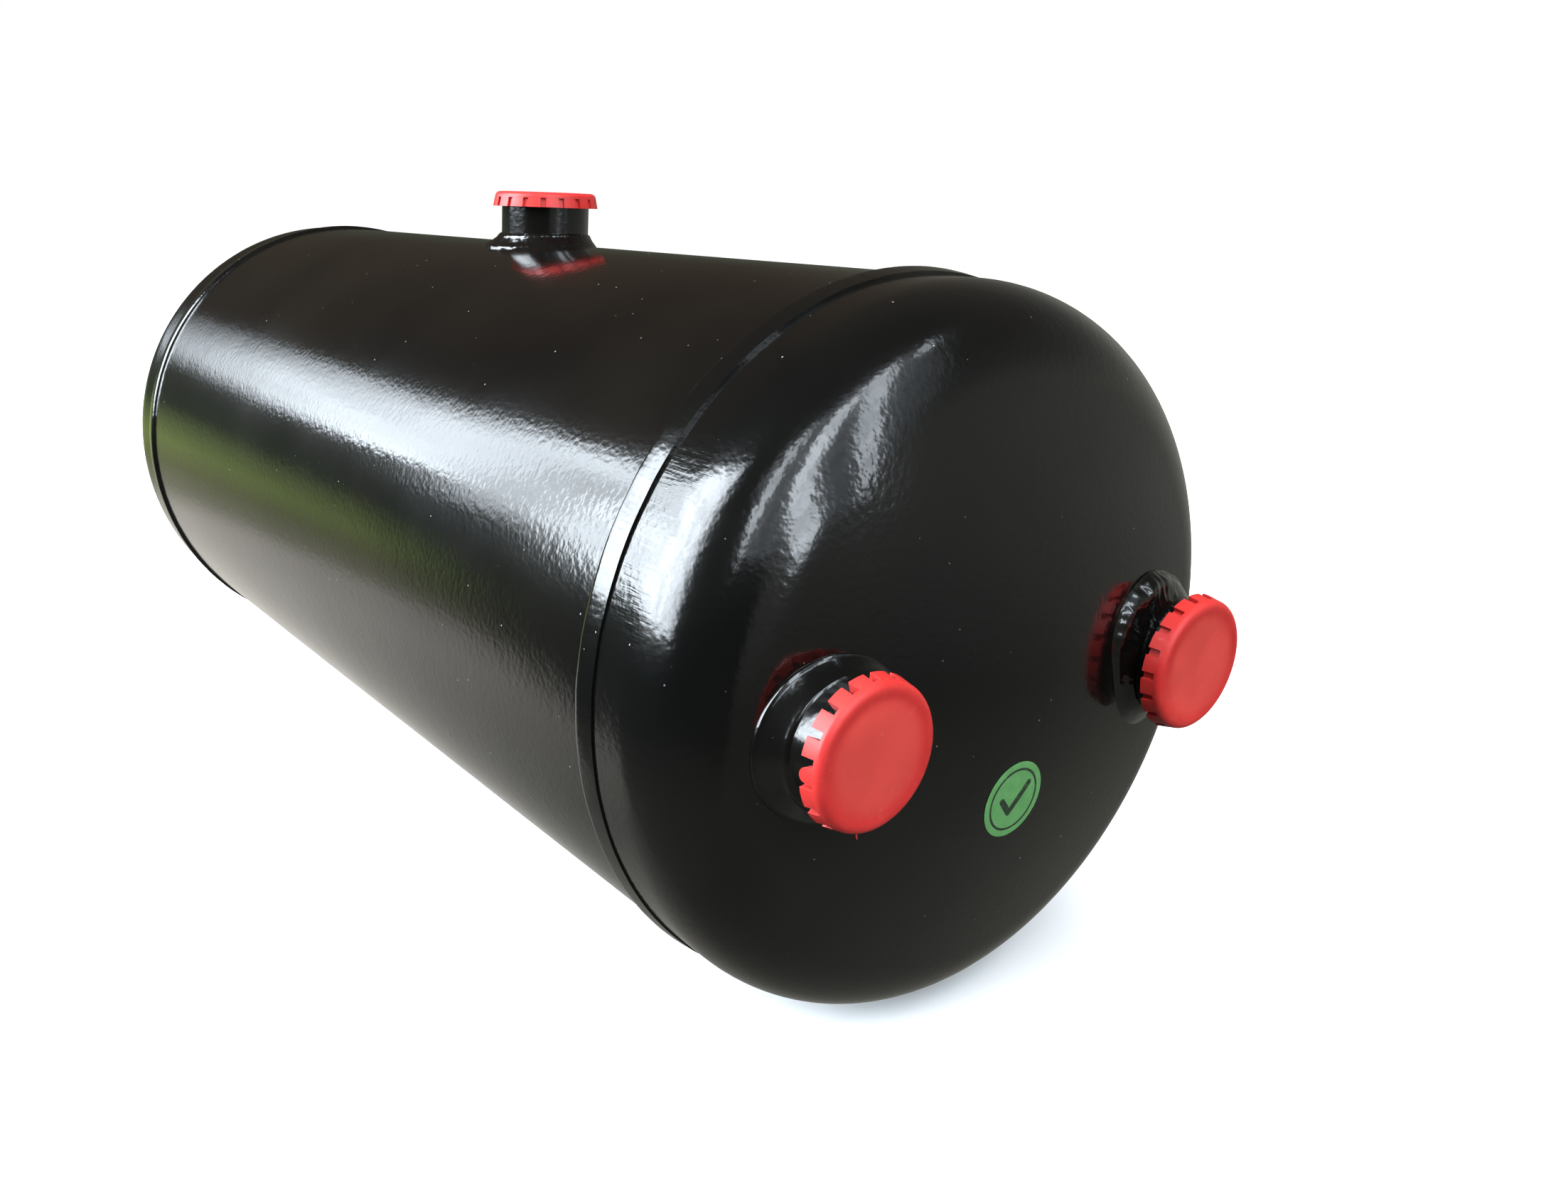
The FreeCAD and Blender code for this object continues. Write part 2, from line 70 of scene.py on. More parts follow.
TANK_RADIUS = size("shell", 1) / 2
TANK_MIDDLE = Vector((middle("shell").x, 0, middle("shell").z))
SHELL_HALF = size("shell", 0) / 2
HEAD_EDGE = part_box("front_head")[0].x - TANK_MIDDLE.x
HEAD_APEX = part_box("front_head")[1].x - TANK_MIDDLE.x
BEAD_MIDDLE = (SHELL_HALF + HEAD_EDGE) / 2
BEAD_WIDTH = size("front_girth_weld", 0)
BOSS_RADIUS = size("top_boss", 0) / 2
PORT_OFFSET = middle("right_boss").y
CAP_RADIUS = size("top_cap", 0) / 2
CAP_HEIGHT = size("top_cap", 2)
STICKER_RADIUS = size("inspection_sticker", 1) / 2

# Measures of the CAD parts that their boxes don't give.
WALL = 2.0 * MM
CROWN_RADIUS = 441 * MM
KNUCKLE_RADIUS = 32.8 * MM
HOLE_RADIUS = BOSS_RADIUS + 0.2 * MM
CAP_END = 1.6 * MM
CAP_GAP = 0.1 * MM
NOTCHES = 18

CROWN_CENTRE = HEAD_APEX - CROWN_RADIUS
KNUCKLE_SINE = (TANK_RADIUS - KNUCKLE_RADIUS) / (CROWN_RADIUS - KNUCKLE_RADIUS)
KNUCKLE_COSINE = math.sqrt(1 - KNUCKLE_SINE ** 2)
SKIRT_END = CROWN_CENTRE + (CROWN_RADIUS - KNUCKLE_RADIUS) * KNUCKLE_COSINE

# Measures of the visual model alone.
FRONT_BEAD_RISE = 2.25 * MM
REAR_BEAD_RISE = 1.45 * MM
THREAD_CREST = 15.15 * MM
THREAD_DEPTH = 1.48 * MM
THREAD_PITCH = 2.309 * MM
NOTCH_HEIGHT = 3.9 * MM
NOTCH_HALF = 1.25 * MM
RING_MIDDLE = 0.80 * STICKER_RADIUS
RING_HALF = 0.030 * STICKER_RADIUS
STROKE_HALF = 0.085 * STICKER_RADIUS
INK_EDGE = 0.06 * MM


# ----------------------------------------------------------------- materials

class Nodes:
    """A material's node tree, with short calls for what the finishes share."""

    def __init__(self, name):
        self.material = bpy.data.materials.new(name)
        self.material.use_nodes = True
        self.tree = self.material.node_tree
        self.shader = self.tree.nodes["Principled BSDF"]
        self.place = self.tree.nodes.new("ShaderNodeTexCoord").outputs["Object"]

    def new(self, kind, **settings):
        node = self.tree.nodes.new(kind)
        for name, value in settings.items():
            setattr(node, name, value)
        return node

    def link(self, source, target):
        self.tree.links.new(source, target)

    def feed(self, socket, value):
        """Link an output to a socket, or set the socket to a constant."""
        if isinstance(value, bpy.types.NodeSocket):
            self.link(value, socket)
        else:
            socket.default_value = value

    def noise(self, scale, detail=2.0, roughness=0.5, where=None):
        node = self.new("ShaderNodeTexNoise")
        self.link(where or self.place, node.inputs["Vector"])
        node.inputs["Scale"].default_value = scale
        node.inputs["Detail"].default_value = detail
        node.inputs["Roughness"].default_value = roughness
        return node.outputs["Fac"]

    def specks(self, scale, radius):
        """Small dots: 1 inside a dot and 0 outside."""
        node = self.new("ShaderNodeTexVoronoi", feature="F1")
        self.link(self.place, node.inputs["Vector"])
        node.inputs["Scale"].default_value = scale
        return self.band(node.outputs["Distance"], radius, 0.0)

    def band(self, value, start, end, low=0.0, high=1.0):
        """Map start..end to low..high and hold beyond them."""
        node = self.new("ShaderNodeMapRange", clamp=True)
        self.link(value, node.inputs["Value"])
        node.inputs["From Min"].default_value = start
        node.inputs["From Max"].default_value = end
        node.inputs["To Min"].default_value = low
        node.inputs["To Max"].default_value = high
        return node.outputs["Result"]

    def math(self, operation, a, b=0.0, c=0.0):
        node = self.new("ShaderNodeMath", operation=operation)
        for socket, value in zip(node.inputs, (a, b, c)):
            self.feed(socket, value)
        return node.outputs["Value"]

    def from_point(self, point):
        """Object coordinates measured from a point, as their x, y and z."""
        offset = self.new("ShaderNodeVectorMath", operation="SUBTRACT")
        self.link(self.place, offset.inputs[0])
        offset.inputs[1].default_value = point
        parts = self.new("ShaderNodeSeparateXYZ")
        self.link(offset.outputs["Vector"], parts.inputs[0])
        return [parts.outputs[name] for name in "XYZ"]

    def dot(self, a, b, way):
        """How far the pair (a, b) goes along a fixed pair."""
        return self.math("ADD", self.math("MULTIPLY", a, way[0]), self.math("MULTIPLY", b, way[1]))

    def length(self, a, b):
        """Length of the pair (a, b)."""
        squares = [self.math("MULTIPLY", side, side) for side in (a, b)]
        return self.math("SQRT", self.math("ADD", *squares))

    def mix(self, factor, a, b):
        """Blend two colours."""
        node = self.new("ShaderNodeMix", data_type="RGBA")
        self.feed(node.inputs["Factor"], factor)
        for socket, value in ((node.inputs["A"], a), (node.inputs["B"], b)):
            if isinstance(value, tuple):
                value = (*value, 1.0)
            self.feed(socket, value)
        return node.outputs["Result"]

    def bump(self, heights):
        """Chain bumps, given as (height, depth in metres), and return their normal."""
        normal = None
        for height, depth in heights:
            node = self.new("ShaderNodeBump")
            node.inputs["Distance"].default_value = depth
            node.inputs["Strength"].default_value = 1.0
            self.link(height, node.inputs["Height"])
            if normal:
                self.link(normal, node.inputs["Normal"])
            normal = node.outputs["Normal"]
        self.link(normal, self.shader.inputs["Normal"])
        return normal

    def set(self, **values):
        for name, value in values.items():
            self.shader.inputs[name.replace("_", " ")].default_value = value


def black_paint(name="black_paint", ripple=0.0, drawn=False):
    """Thick gloss black enamel with orange peel and specks of dust.

    Ripple is the depth of a weld's unevenness under it, and drawn adds the ridges
    of a head's skirt.
    """
    n = Nodes(name)
    cloud = n.band(n.noise(9, 3), 0.35, 0.68)
    dark = n.mix(cloud, (0.0016, 0.0018, 0.0018), (0.0042, 0.0038, 0.0031))
    dust = n.math("MULTIPLY", n.specks(150, 0.055), n.band(n.noise(61, 1), 0.48, 0.62))
    marks = n.math("MULTIPLY", dust, 0.9)
    n.link(n.mix(marks, dark, (0.45, 0.45, 0.42)), n.shader.inputs["Base Color"])
    film = n.band(n.noise(14, 4, 0.6), 0.35, 0.75, 0.13, 0.20)
    n.link(n.math("MAXIMUM", film, n.math("MULTIPLY", marks, 0.6)), n.shader.inputs["Roughness"])
    n.set(IOR=1.5, Specular_IOR_Level=0.28, Coat_Weight=0.5, Coat_Roughness=0.06)
    heights = [
        (n.noise(18, 2), 0.16 * MM),
        (n.noise(110, 2), 0.045 * MM),
        (n.noise(470, 1.5, 0.5), 0.065 * MM),
        (dust, 0.05 * MM),
    ]
    if drawn:
        heights.append((draw_marks(n), 0.10 * MM))
    if ripple:
        heights.append((n.noise(170, 2, 0.6), ripple))
    n.link(n.bump(heights), n.shader.inputs["Coat Normal"])
    return n.material


def draw_marks(n):
    """Fine ridges along the tank that pressing leaves on a head's skirt."""
    ridge_width = 1.6 * MM
    ridge_length = 16 * MM
    x, y, z = n.from_point(TANK_MIDDLE)
    turn = n.math("ARCTAN2", y, z)
    along = n.math("ABSOLUTE", x)
    where = n.new("ShaderNodeCombineXYZ")
    n.link(n.math("MULTIPLY", turn, TANK_RADIUS / ridge_width), where.inputs["X"])
    n.link(n.math("MULTIPLY", along, 1 / ridge_length), where.inputs["Y"])
    ridges = n.noise(1.0, 2, 0.55, where.outputs["Vector"])
    patch = n.band(n.noise(26, 2), 0.45, 0.60)
    on_skirt = n.band(along, SKIRT_END + 10 * MM, SKIRT_END - 4 * MM)
    return n.math("MULTIPLY", n.math("MULTIPLY", ridges, patch), on_skirt)


def red_plastic():
    """Moulded polyethylene, a little cloudy, with faint scuffs and pale specks."""
    n = Nodes("red_cap")
    cloud = n.band(n.noise(45, 3, 0.6), 0.32, 0.68)
    red = n.mix(cloud, (0.42, 0.020, 0.018), (0.51, 0.030, 0.026))
    face = n.new("ShaderNodeAttribute", attribute_name="face").outputs["Fac"]
    dull = n.mix(n.band(n.noise(32, 2), 0.38, 0.62), (0.48, 0.043, 0.034), (0.61, 0.056, 0.045))
    red = n.mix(face, red, dull)
    scuff = n.math("MULTIPLY", n.band(n.noise(420, 4, 0.65), 0.60, 0.80), 0.22)
    speck = n.math("MULTIPLY", n.specks(300, 0.045), n.band(n.noise(70, 1), 0.60, 0.66))
    pale = n.math("MAXIMUM", scuff, speck)
    n.link(n.mix(pale, red, (0.76, 0.20, 0.16)), n.shader.inputs["Base Color"])
    rough = n.band(n.noise(120, 3), 0.3, 0.7, 0.34, 0.48)
    n.link(n.math("ADD", rough, n.math("MULTIPLY", face, 0.12)), n.shader.inputs["Roughness"])
    n.set(IOR=1.5, Specular_IOR_Level=0.3, Subsurface_Weight=0.15, Subsurface_Scale=0.003)
    n.shader.inputs["Subsurface Radius"].default_value = (1.0, 0.25, 0.15)
    n.bump([(n.noise(1500, 2), 0.012 * MM), (n.noise(240, 3), 0.04 * MM)])
    return n.material


def stroke_ink(n, across, up, start, end):
    """Ink of a straight stroke with round ends: 1 inside it and 0 outside."""
    run = [b - a for a, b in zip(start, end)]
    length = math.hypot(*run)
    unit = [r / length for r in run]
    from_y = n.math("SUBTRACT", across, start[0])
    from_z = n.math("SUBTRACT", up, start[1])
    held = n.math("MAXIMUM", n.math("MINIMUM", n.dot(from_y, from_z, unit), length), 0.0)
    gap_y = n.math("SUBTRACT", from_y, n.math("MULTIPLY", held, unit[0]))
    gap_z = n.math("SUBTRACT", from_z, n.math("MULTIPLY", held, unit[1]))
    return n.band(n.length(gap_y, gap_z), STROKE_HALF + INK_EDGE, STROKE_HALF)


def sticker_paper(centre):
    """Green paper with a printed ring and a tick, laid out from its centre."""
    n = Nodes("green_sticker")
    _, across, up = n.from_point(centre)
    off_ring = n.math("ABSOLUTE", n.math("SUBTRACT", n.length(across, up), RING_MIDDLE))
    ink = n.band(off_ring, RING_HALF + INK_EDGE, RING_HALF)
    corners = ((-0.42, 0.03), (-0.10, -0.33), (0.46, 0.36))
    tick = [(y * STICKER_RADIUS, z * STICKER_RADIUS) for y, z in corners]
    for start, end in zip(tick, tick[1:]):
        ink = n.math("MAXIMUM", ink, stroke_ink(n, across, up, start, end))
    wear = n.band(n.noise(900, 3, 0.6), 0.30, 0.45, 0.6, 1.0)
    ink = n.math("MULTIPLY", ink, wear)
    paper = n.mix(n.band(n.noise(260, 4), 0.3, 0.7), (0.080, 0.235, 0.072), (0.105, 0.285, 0.092))
    n.link(n.mix(ink, paper, (0.012, 0.022, 0.012)), n.shader.inputs["Base Color"])
    n.link(n.band(n.noise(500, 2), 0.3, 0.7, 0.42, 0.55), n.shader.inputs["Roughness"])
    n.bump([(n.noise(1800, 3), 0.01 * MM), (ink, 0.01 * MM)])
    return n.material


# -------------------------------------------------------------------- meshes

def finish_piece(name, points, faces, material, body, nodes, bevel=0.0):
    """Make a smooth-shaded object from points and faces, standing for CAD nodes."""
    mesh = bpy.data.meshes.new(name)
    mesh.from_pydata(points, [], faces)
    mesh.validate()
    bm = bmesh.new()
    bm.from_mesh(mesh)
    bmesh.ops.remove_doubles(bm, verts=bm.verts, dist=1e-6)
    bmesh.ops.recalc_face_normals(bm, faces=bm.faces)
    bm.to_mesh(mesh)
    bm.free()
    return dress(name, mesh, material, body, nodes, bevel)


def dress(name, mesh, material, body, nodes, bevel):
    """Give a mesh its object, shading, material, body and CAD nodes."""
    piece = bpy.data.objects.new(name, mesh)
    bpy.context.scene.collection.objects.link(piece)
    mesh.shade_smooth()
    mesh.set_sharp_from_angle(angle=CREASE)
    mesh.materials.append(material)
    if bevel:
        edges = piece.modifiers.new("edges", "BEVEL")
        edges.width = bevel
        edges.segments = 2
        edges.limit_method = "ANGLE"
        edges.angle_limit = CREASE
        edges.harden_normals = True
    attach(piece, body)
    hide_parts(*nodes)
    return piece


def grid_faces(columns, rows, close_rows=True):
    """Quads of a grid that wraps round its columns, and round its rows if asked."""
    faces = []
    for c in range(columns):
        after = (c + 1) % columns
        for r in range(rows if close_rows else rows - 1):
            up = (r + 1) % rows
            faces.append((c * rows + r, c * rows + up, after * rows + up, after * rows + r))
    return faces


def arc(centre, radius, start, end, count):
    """Points of a circular arc as (along, out), from one angle to another."""
    points = []
    for i in range(count + 1):
        angle = start + (end - start) * i / count
        points.append((centre[0] + radius * math.cos(angle), centre[1] + radius * math.sin(angle)))
    return points


def stations(breaks):
    """Values from (value, step) pairs, each step used up to the next value."""
    values = []
    for (start, step), (end, _) in zip(breaks, breaks[1:]):
        count = max(1, round((end - start) / step))
        values += [start + (end - start) * i / count for i in range(count)]
    return values + [breaks[-1][0]]


def lathe_along_x(profile, columns, origin, wobble):
    """Turn a closed (along, out) profile about a line along X through origin.

    Wobble gives how far the surface stands out at (along, out, angle).
    """
    points = []
    for c in range(columns):
        angle = TAU * c / columns
        for along, out in profile:
            radius = max(0.0, out + wobble(along, out, angle))
            points.append(origin + Vector((along, -radius * math.sin(angle), radius * math.cos(angle))))
    return points, grid_faces(columns, len(profile))


def punch(mesh, centre, axis, radius):
    """Open a round hole where a line leaves the mesh, with a clean edge."""
    bm = bmesh.new()
    bm.from_mesh(mesh)

    def away(point):
        gap = point - centre
        return gap - axis * gap.dot(axis)

    def ahead(point):
        return (point - centre).dot(axis) > 0

    inside = {v for v in bm.verts if ahead(v.co) and away(v.co).length < radius}
    doomed = [f for f in bm.faces if any(v in inside for v in f.verts)]
    kept = set(bm.faces) - set(doomed)
    rim = {v for f in doomed for v in f.verts if any(g in kept for g in v.link_faces)}
    bmesh.ops.delete(bm, geom=doomed, context="FACES")
    for v in rim:
        out = away(v.co)
        v.co += out.normalized() * (radius - out.length)
    loops = [e for e in bm.edges if e.is_boundary]
    bmesh.ops.bridge_loops(bm, edges=loops)
    bmesh.ops.recalc_face_normals(bm, faces=bm.faces)
    bm.to_mesh(mesh)
    bm.free()
    mesh.set_sharp_from_angle(angle=CREASE)


# ---------------------------------------------------------------- tank pieces

def slow_wave(point, length, depth):
    """Smooth unevenness of sheet metal, as a height at a point."""
    return noise.noise(point / length) * depth


def shell_wave(along, out, angle):
    """The rolled sheet's slight waviness, on its outside only."""
    if out < TANK_RADIUS - 0.5 * WALL:
        return 0.0
    longer_along = 0.6 * along
    point = Vector((longer_along, TANK_RADIUS * math.cos(angle), TANK_RADIUS * math.sin(angle)))
    return slow_wave(point, 70 * MM, 0.07 * MM)


def make_shell(material):
    """The rolled shell, with fine rings round the top boss's hole."""
    columns = 400
    fine = 30 * MM
    fine_step = 1.5 * MM
    step = 12 * MM
    outer = stations([(-SHELL_HALF, step), (-fine, fine_step), (fine, step), (SHELL_HALF, 0)])
    profile = [(along, TANK_RADIUS) for along in outer]
    profile += [(along, TANK_RADIUS - WALL) for along in reversed(outer)]
    points, faces = lathe_along_x(profile, columns, TANK_MIDDLE, shell_wave)
    shell = finish_piece(
        "painted_shell", points, faces, material, "tank", ["shell"]
    )
    punch(shell.data, TANK_MIDDLE, Vector((0, 0, 1)), HOLE_RADIUS)


def head_side(inset, knuckle_steps):
    """One side of a dished head, from apex to open edge, as (along, out)."""
    crown_steps = 60
    skirt_steps = 6
    tip = math.asin(KNUCKLE_SINE)
    crown = arc((CROWN_CENTRE, 0), CROWN_RADIUS - inset, 0, tip, crown_steps)
    knuckle_centre = (SKIRT_END, TANK_RADIUS - KNUCKLE_RADIUS)
    knuckle = arc(knuckle_centre, KNUCKLE_RADIUS - inset, tip, TAU / 4, knuckle_steps)
    skirt = []
    for i in range(1, skirt_steps + 1):
        along = SKIRT_END + (HEAD_EDGE - SKIRT_END) * i / skirt_steps
        skirt.append((along, TANK_RADIUS - inset))
    return crown + knuckle[1:] + skirt


def head_wave(along, out, angle):
    """The pressed head's slight waviness."""
    point = Vector((along, out * math.cos(angle), out * math.sin(angle)))
    return slow_wave(point, 55 * MM, 0.05 * MM)


def make_head(name, node, facing, ports, material):
    """A dished head, with a hole for each port."""
    columns = 384
    profile = head_side(0, 22) + list(reversed(head_side(WALL, 12)))
    points, _ = lathe_along_x(profile, columns, Vector(), head_wave)
    points = [TANK_MIDDLE + Vector((facing * p.x, p.y, p.z)) for p in points]
    faces = grid_faces(columns, len(profile), close_rows=False)
    head = finish_piece(name, points, faces, material, "tank", [node])
    for port in ports:
        punch(head.data, port.origin, Vector((1, 0, 0)), HOLE_RADIUS)


def bead_section(rise, steps):
    """A girth bead's top from its shell side to its head side, as (along, out).

    It climbs from the shell over a quarter of its width, slopes down to half its
    rise, and ends at the head in a step.
    """
    half = BEAD_WIDTH / 2
    brow = -0.5
    brink = 0.97
    fall = 0.5
    section = []
    for i in range(steps + 1):
        across = -1 + (1 + brink) * i / steps
        edge = max(0.0, brow - across) / (1 + brow)
        slant = max(0.0, across - brow) / (brink - brow)
        height = rise * (1 - edge ** 2) * (1 - fall * slant ** 1.3)
        section.append((across * half, TANK_RADIUS + height))
    section.append((brink * half, TANK_RADIUS))
    return section


def bead_lift(angle, where):
    """How far a girth bead's top stands above its section, at an angle round the tank."""
    lump_angle = math.radians(4)
    lump_half = 7.0 * MM
    lump_height = 0.6 * MM
    ripples = 330
    swell = noise.noise(where * 2.3) * 0.06 * MM
    ripple = math.cos(angle * ripples) * 0.012 * MM
    below = min(abs(angle - TAU / 2 - side * lump_angle) for side in (-1, 1)) * TANK_RADIUS
    lump = lump_height * math.sqrt(max(0.0, 1 - (below / lump_half) ** 2))
    return swell + ripple + lump


def make_girth_weld(name, node, facing, material):
    """A machine-laid bead: nearly even, with a start and a stop lump at the bottom.

    The front one is lower at the bottom left.
    """
    columns = 960
    section = bead_section(FRONT_BEAD_RISE if facing > 0 else REAR_BEAD_RISE, 20)
    thinning = 0.5 if facing > 0 else 0.0
    last = len(section) - 1
    root = 0.7 * MM
    under = TANK_RADIUS - 0.3 * MM
    inside = TANK_RADIUS - WALL
    points = []
    for c in range(columns):
        angle = TAU * c / columns
        where = Vector((math.cos(angle) * 12, math.sin(angle) * 12, facing * 5))
        drift = noise.noise(where) * 0.25 * MM
        lift = bead_lift(angle, where)
        thin = thinning * hump(angle, 112, 48)
        ring = []
        for i, (along, out) in enumerate(section):
            eased = lift * min(1.0, 4 * i / last, 4 * (last - i) / last)
            sunk = 0.1 * MM if i in (0, last) else 0.0
            flat = thin * (out - TANK_RADIUS)
            ring.append((along + drift, out - flat + eased - sunk))
        ring += [(root, under), (root, inside), (-root, inside), (-root, under)]
        for along, out in ring:
            x = facing * (BEAD_MIDDLE + along)
            points.append(TANK_MIDDLE + Vector((x, -out * math.sin(angle), out * math.cos(angle))))
    faces = grid_faces(columns, len(ring))
    finish_piece(name, points, faces, material, "tank", [node])


def seam_ring(x, steps):
    """The seam bead's outline across the shell at one x, top first and then root."""
    seam = math.radians(155)
    half = 3.0 * MM
    rise = 0.9 * MM
    pitch = 2.2 * MM
    bow = 2.2
    ring = []
    drift = noise.noise(Vector((x / (35 * MM), 3, 7))) * 0.3 * MM
    for i in range(steps + 1):
        s = -1 + 2 * i / steps
        crown = 1 - s * s
        ripple = math.cos(TAU * x / pitch + bow * crown) * 0.035 * MM
        ring.append((s, TANK_RADIUS - 0.02 * MM + (rise + ripple) * crown * 0.98))
    ring += [(s, TANK_RADIUS - 0.4 * MM) for s in (1, -1)]
    points = []
    for s, out in ring:
        around = (s * half + drift) / TANK_RADIUS + seam
        points.append(Vector((x, out * math.sin(around), TANK_MIDDLE.z + out * math.cos(around))))
    return points


def make_seam_weld(material):
    """The shell's long seam: a low rippled bead low on the far side."""
    low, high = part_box("shell_seam_weld")
    steps = 10
    columns = round((high.x - low.x) / (0.75 * MM))
    points = []
    for c in range(columns + 1):
        points += seam_ring(low.x + (high.x - low.x) * c / columns, steps)
    rows = steps + 3
    faces = grid_faces(columns + 1, rows)[: columns * rows]
    faces += [tuple(range(rows)), tuple(range(columns * rows, (columns + 1) * rows))]
    finish_piece("painted_seam", points, faces, material, "tank", ["shell_seam_weld"])


# --------------------------------------------------------------------- ports

class Port:
    """Where a boss stands, with the height of the tank's surface round it.

    Local x and y run across the port and z out along it, from the point where
    its axis leaves the tank. Mouth is how far its boss reaches out along z, and
    inside how far in.
    """

    def __init__(self, word, origin, basis, surface):
        self.word = word
        self.origin = origin
        self.matrix = Matrix.Translation(origin) @ Matrix(basis).transposed().to_4x4()
        self.surface = surface
        low, high = (self.matrix.inverted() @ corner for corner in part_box(f"{word}_boss"))
        self.mouth = high.z
        self.inside = -low.z

    def place(self, x, y, z):
        return self.matrix @ Vector((x, y, z))


def top_port():
    """The port on top of the shell."""

    def surface(x, y):
        return math.sqrt(TANK_RADIUS ** 2 - y ** 2) - TANK_RADIUS

    origin = TANK_MIDDLE + Vector((0, 0, TANK_RADIUS))
    return Port("top", origin, ((1, 0, 0), (0, 1, 0), (0, 0, 1)), surface)


def front_port(word, side):
    """A port in the front head, with side -1 for the left one and 1 for the right."""
    offset = side * PORT_OFFSET
    face = math.sqrt(CROWN_RADIUS ** 2 - offset ** 2)

    def surface(x, y):
        return math.sqrt(CROWN_RADIUS ** 2 - (x + offset) ** 2 - y ** 2) - face

    origin = TANK_MIDDLE + Vector((CROWN_CENTRE + face, offset, 0))
    return Port(word, origin, ((0, 1, 0), (0, 0, 1), (1, 0, 0)), surface)


def hump(angle, peak, spread):
    """A smooth rise round one angle, in degrees."""
    gap = (math.degrees(angle) - peak + 180) % 360 - 180
    return math.exp(-((gap / spread) ** 2))


def bell(value, peak, spread):
    """A smooth rise round one value."""
    return math.exp(-(((value - peak) / spread) ** 2))


def weld_stand(t, angle, swell, roughness, seed):
    """How far a port weld stands out of its cone, at a share of the way to its toe."""
    ripples = 52
    cosine, sine = math.cos(angle), math.sin(angle)
    held = min(1.0, 3 * math.sin(math.pi * t))
    ripple = math.cos(angle * ripples + 2.6 * math.sin(math.pi * t)) * 0.12
    rough = noise.noise(Vector((cosine * 6, sine * 6, t * 2.6 + seed)))
    rough += 0.45 * noise.noise(Vector((cosine * 17, sine * 17, t * 2 + seed)))
    return swell(t, angle) * min(1.0, 6 * t) + (ripple + rough) * roughness(angle) * held


def make_port_weld(port, material, neck, foot, swell, roughness, seed):
    """A fillet weld from a boss's neck to the tank, laid in overlapping ripples.

    Neck is the height it reaches up the boss. Foot is the toe's radius and
    roughness the unevenness, by the angle round the port. Swell is how far the
    weld stands out of a straight cone, by the share of the way from neck to toe
    and the angle.
    """
    columns = 360
    steps = 28
    sunk = 0.6 * MM
    inner = BOSS_RADIUS - 0.3 * MM
    points = []
    for c in range(columns):
        angle = TAU * c / columns
        cosine, sine = math.cos(angle), math.sin(angle)
        edge = foot(angle) + noise.noise(Vector((cosine * 3, sine * 3, seed))) * 0.25 * MM
        top = neck + port.surface(BOSS_RADIUS * cosine, BOSS_RADIUS * sine) / 2
        top += noise.noise(Vector((cosine * 4, sine * 4, seed + 9))) * 0.15 * MM
        low = port.surface(edge * cosine, edge * sine)
        slope = Vector((edge - BOSS_RADIUS, low - top))
        normal = Vector((-slope.y, slope.x)).normalized()
        ring = []
        for i in range(steps + 1):
            t = i / steps
            stand = weld_stand(t, angle, swell, roughness, seed)
            lip = 0.3 * MM * min(1.0, t * steps / 2) * (1 - t)
            radius = BOSS_RADIUS + slope.x * t + normal.x * stand + lip
            ring.append((radius, top + slope.y * t + normal.y * stand))
        below = port.surface(inner * cosine, inner * sine) - sunk
        ring += [(edge, low - sunk), (inner, below), (inner, top - 0.2 * MM)]
        for radius, height in ring:
            points.append(port.place(radius * cosine, radius * sine, height))
    faces = grid_faces(columns, len(ring))
    name = f"{port.word}_port_weld"
    finish_piece(name, points, faces, material, "tank", [f"{port.word}_boss_weld"])


def thread_side(share, start, depth):
    """A boss's threaded bore down from start, as (radius, height), at a share of a turn."""
    root = THREAD_CREST + THREAD_DEPTH
    rows_per_turn = 12
    rows = round(depth / THREAD_PITCH * rows_per_turn)
    side = []
    for i in range(rows + 1):
        height = start - depth * i / rows
        turn = (height / THREAD_PITCH - share) % 1.0
        tooth = min(1.0, max(0.0, 2.6 * abs(turn - 0.5) - 0.15))
        fade = min(1.0, (start - height) / THREAD_PITCH)
        side.append((root - THREAD_DEPTH * tooth * fade, height))
    return side


def make_boss(port, material):
    """A turned boss: plain outside, rounded lip and a parallel thread inside."""
    columns = 144
    wall_rows = 12
    lip = 0.4 * MM
    root = THREAD_CREST + THREAD_DEPTH
    inside, mouth = port.inside, port.mouth
    start = mouth - 1.8 * MM
    points = []
    for c in range(columns):
        share = c / columns
        angle = TAU * share
        ring = []
        for i in range(wall_rows + 1):
            ring.append((BOSS_RADIUS, -inside + (mouth - lip + inside) * i / wall_rows))
        ring += arc((BOSS_RADIUS - lip, mouth - lip), lip, 0, TAU / 4, 5)[1:]
        ring += [(root + 0.4 * MM, mouth), (root, mouth - 0.4 * MM)]
        ring += thread_side(share, start, start + inside)
        for radius, height in ring:
            points.append(port.place(radius * math.cos(angle), radius * math.sin(angle), height))
    faces = grid_faces(columns, len(ring))
    name = f"{port.word}_threaded_boss"
    boss = finish_piece(name, points, faces, material, "tank", [f"{port.word}_boss"])
    boss.data.set_sharp_from_angle(angle=math.radians(50))


